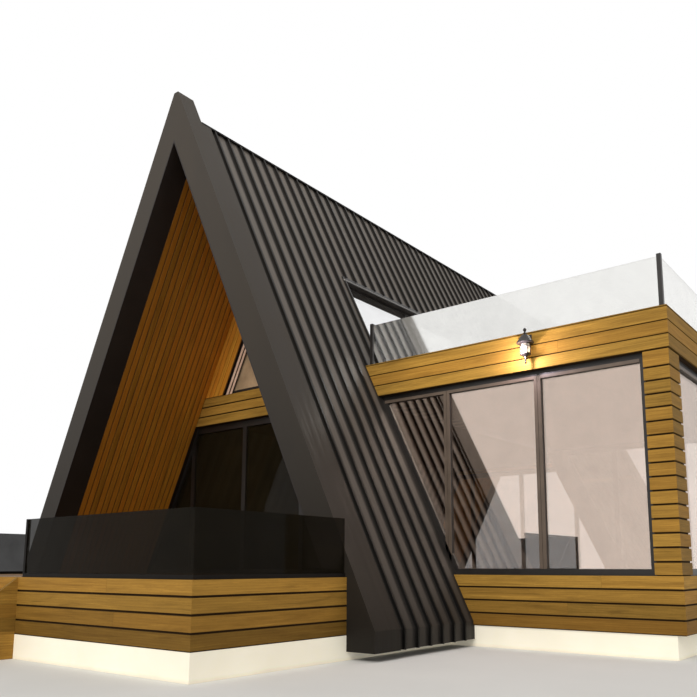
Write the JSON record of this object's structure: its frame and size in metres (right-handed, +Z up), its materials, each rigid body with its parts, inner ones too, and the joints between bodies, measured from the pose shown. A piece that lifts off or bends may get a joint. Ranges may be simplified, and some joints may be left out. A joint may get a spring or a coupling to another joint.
{
  "type": "a-frame cabin",
  "caption": "A-frame cabin with a steep seamed metal roof down to the ground, timber-lined porch, raised deck with glass balustrade, and a glazed flat-roofed wing with a roof terrace.",
  "frame": {"origin": "on the ground under the ridge, in the plane of the front portal face", "axes": "+Z up, +Y back along the ridge from the front portal, +X to the right seen from the front, towards the wing"},
  "size_m": [12.2994, 19.934, 9.79],
  "materials": {
    "roof_metal": "satin anthracite standing-seam sheet",
    "portal_metal": "satin anthracite flat sheet",
    "reveal_panel": "matt black-brown panel",
    "concrete": "smooth pale rendered concrete",
    "cladding_timber": "oiled golden-brown horizontal boards",
    "deck_timber": "oiled hardwood boards",
    "floor_timber": "plain timber",
    "soffit_timber": "oiled orange-brown narrow boards",
    "dark_metal": "satin black-brown",
    "pale_frame": "satin beige",
    "window_glass": "grey tinted reflective",
    "rail_glass": "clear to grey reflective",
    "lamp_glass": "warm frosted"
  },
  "bodies": {
    "root": {"plinth_main": "concrete", "plinth_wing": "concrete", "floor_platform": "concrete", "deck_boards": "deck_timber", "deck_cladding": "cladding_timber", "entrance_steps": "deck_timber", "deck_rail_metal": "dark_metal", "deck_rail_glass": "rail_glass", "portal_front": "portal_metal", "portal_rear": "portal_metal", "portal_reveals": "reveal_panel", "roof_left": "roof_metal", "roof_right_front": "roof_metal", "roof_right_rear": "roof_metal", "roof_right_upper": "roof_metal", "roof_right_lower": "roof_metal", "roof_seams": "roof_metal", "ridge_cap": "roof_metal", "porch_lining": "soffit_timber", "porch_frame": "dark_metal", "porch_glass": "window_glass", "timber_band": "cladding_timber", "gable_wall": "soffit_timber", "gable_frame": "pale_frame", "gable_glass": "window_glass", "upper_floor": "floor_timber", "rear_frame": "dark_metal", "rear_glass": "window_glass", "wing_platform": "concrete", "wing_cladding": "cladding_timber", "wing_posts": "cladding_timber", "wing_frame_front": "dark_metal", "wing_glass_front": "window_glass", "wing_frame_side": "dark_metal", "wing_glass_side": "window_glass", "wing_frame_rear": "dark_metal", "wing_glass_rear": "window_glass", "terrace_slab": "concrete", "parapet": "cladding_timber", "terrace_glass": "rail_glass", "terrace_posts": "dark_metal", "terrace_window_frame": "dark_metal", "terrace_window_glass": "window_glass", "lantern_body": "dark_metal", "lantern_glass": "lamp_glass"}
  },
  "joints": []
}
